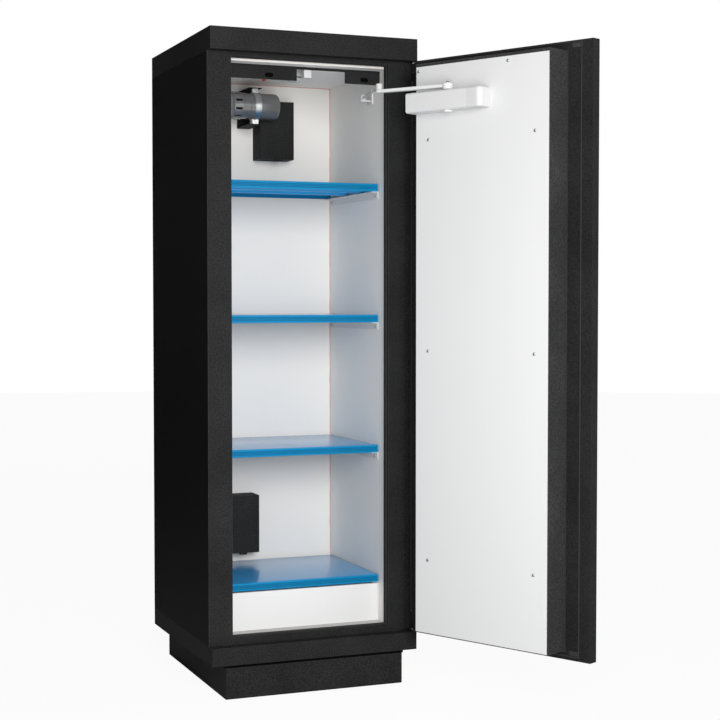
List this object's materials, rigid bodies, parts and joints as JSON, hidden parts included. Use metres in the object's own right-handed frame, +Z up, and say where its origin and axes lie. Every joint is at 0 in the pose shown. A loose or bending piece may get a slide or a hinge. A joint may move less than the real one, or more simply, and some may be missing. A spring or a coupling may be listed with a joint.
{
  "type": "battery storage cabinet",
  "caption": "Tall fire-resistant battery storage cabinet with a hinged insulated door, shelves, air boxes, detectors, an extinguishing unit and a door closer.",
  "frame": {"origin": "middle of the plinth's underside, on the floor", "axes": "+Z up, -Y out of the front, +X towards the hinge side, as seen from the front on the right"},
  "size_m": [0.8869, 1.1475, 1.85],
  "materials": {
    "black_powder": "satin fine-textured powder coat",
    "grey_powder": "satin fine-textured powder coat",
    "white_enamel": "smooth semi-gloss white paint",
    "white_board": "white melamine-faced board",
    "blue_enamel": "gloss blue powder coat",
    "bare_steel": "brushed or zinc-plated steel",
    "galvanised": "galvanised sheet",
    "board": "plain mineral fibre board",
    "seal_strip": "dull grey expanding seal strip",
    "white_plastic": "moulded white plastic",
    "black_plastic": "moulded black plastic",
    "red_bulb": "probe with a red bulb",
    "nickel": "nickel-plated brass"
  },
  "bodies": {
    "cabinet": {"plinth": "black_powder", "levelling_screws": "bare_steel", "base_band": "black_powder", "top_cap": "black_powder", "side_panel_left": "black_powder", "side_panel_right": "black_powder", "rear_panel": "black_powder", "front_frame": "black_powder", "frame_seal": "seal_strip", "insulation_left": "board", "insulation_right": "board", "insulation_back": "board", "insulation_top": "board", "insulation_bottom": "board", "liner_left": "white_board", "liner_right": "white_board", "liner_back": "white_board", "liner_ceiling": "white_board", "liner_floor": "white_board", "head_plate": "black_powder", "kick_panel": "white_enamel", "shelf_1": "blue_enamel", "shelf_2": "blue_enamel", "shelf_3": "blue_enamel", "shelf_4": "blue_enamel", "shelf_rails": "white_enamel", "rail_screws": "bare_steel", "air_outlet_box": "black_powder", "air_inlet_box": "black_powder", "air_ducts": "galvanised", "air_spigots": "galvanised", "aerosol_can": "bare_steel", "aerosol_nozzle": "black_plastic", "aerosol_clamp": "bare_steel", "clamp_bolts": "bare_steel", "aerosol_bracket": "black_powder", "smoke_detector": "white_plastic", "contact_box": "white_plastic", "heat_probe": "red_bulb", "hinge_brackets": "black_powder", "hinge_pins": "bare_steel", "closer_shoe": "white_enamel"},
    "door": {"hinge_knuckles": "black_powder", "door_leaf": "black_powder", "door_core": "board", "door_block": "grey_powder", "door_inner_panel": "white_enamel", "panel_screws": "bare_steel", "door_seals": "seal_strip", "closer_body": "white_enamel", "closer_cap": "white_enamel", "lock_case": "bare_steel", "bolt_guides": "grey_powder", "handle_rose": "black_plastic"},
    "arm": {"closer_arm": "white_enamel"},
    "forearm": {"closer_forearm": "bare_steel"},
    "handle": {"door_handle": "black_plastic"},
    "upper_bolt": {"bolt_top": "bare_steel"},
    "lower_bolt": {"bolt_bottom": "bare_steel"},
    "plug": {"key_plug": "nickel"}
  },
  "joints": [
    {"name": "door_hinge", "type": "hinge", "parent": "cabinet", "child": "door", "pos_m": [0.3, -0.2955, 0.943], "axis": [0, 0, 1], "range_deg": [-116.2, 4]},
    {"name": "closer_arm_turn", "type": "hinge", "parent": "door", "child": "arm", "pos_m": [0.28405, -0.5394, 1.646], "axis": [0, 0, 1], "range_deg": [-4, 98]},
    {"name": "forearm_turn", "type": "hinge", "parent": "cabinet", "child": "forearm", "pos_m": [0.208, -0.1295, 1.6585], "axis": [0, 0, 1], "range_deg": [-120, 5]},
    {"name": "handle_turn", "type": "hinge", "parent": "door", "child": "handle", "pos_m": [0.5483, -0.77294, 1], "axis": [-0.8973, -0.4415, 0], "range_deg": [0, 90]},
    {"name": "upper_bolt_slide", "type": "slide", "parent": "door", "child": "upper_bolt", "axis": [0, 0, 1], "range_m": [0, 0.018]},
    {"name": "lower_bolt_slide", "type": "slide", "parent": "door", "child": "lower_bolt", "axis": [0, 0, -1], "range_m": [0, 0.018]},
    {"name": "key_turn", "type": "hinge", "parent": "door", "child": "plug", "pos_m": [0.5483, -0.77294, 0.928], "axis": [0.8973, 0.4415, 0], "range_deg": [0, 90]}
  ],
  "couplings": [
    {"joint": "closer_arm_turn", "follows": "door_hinge", "ratio": -0.83761},
    {"joint": "forearm_turn", "follows": "door_hinge", "ratio": 1.0307},
    {"joint": "upper_bolt_slide", "follows": "handle_turn", "m_per_rad": 0.01145},
    {"joint": "lower_bolt_slide", "follows": "handle_turn", "m_per_rad": 0.01145}
  ]
}
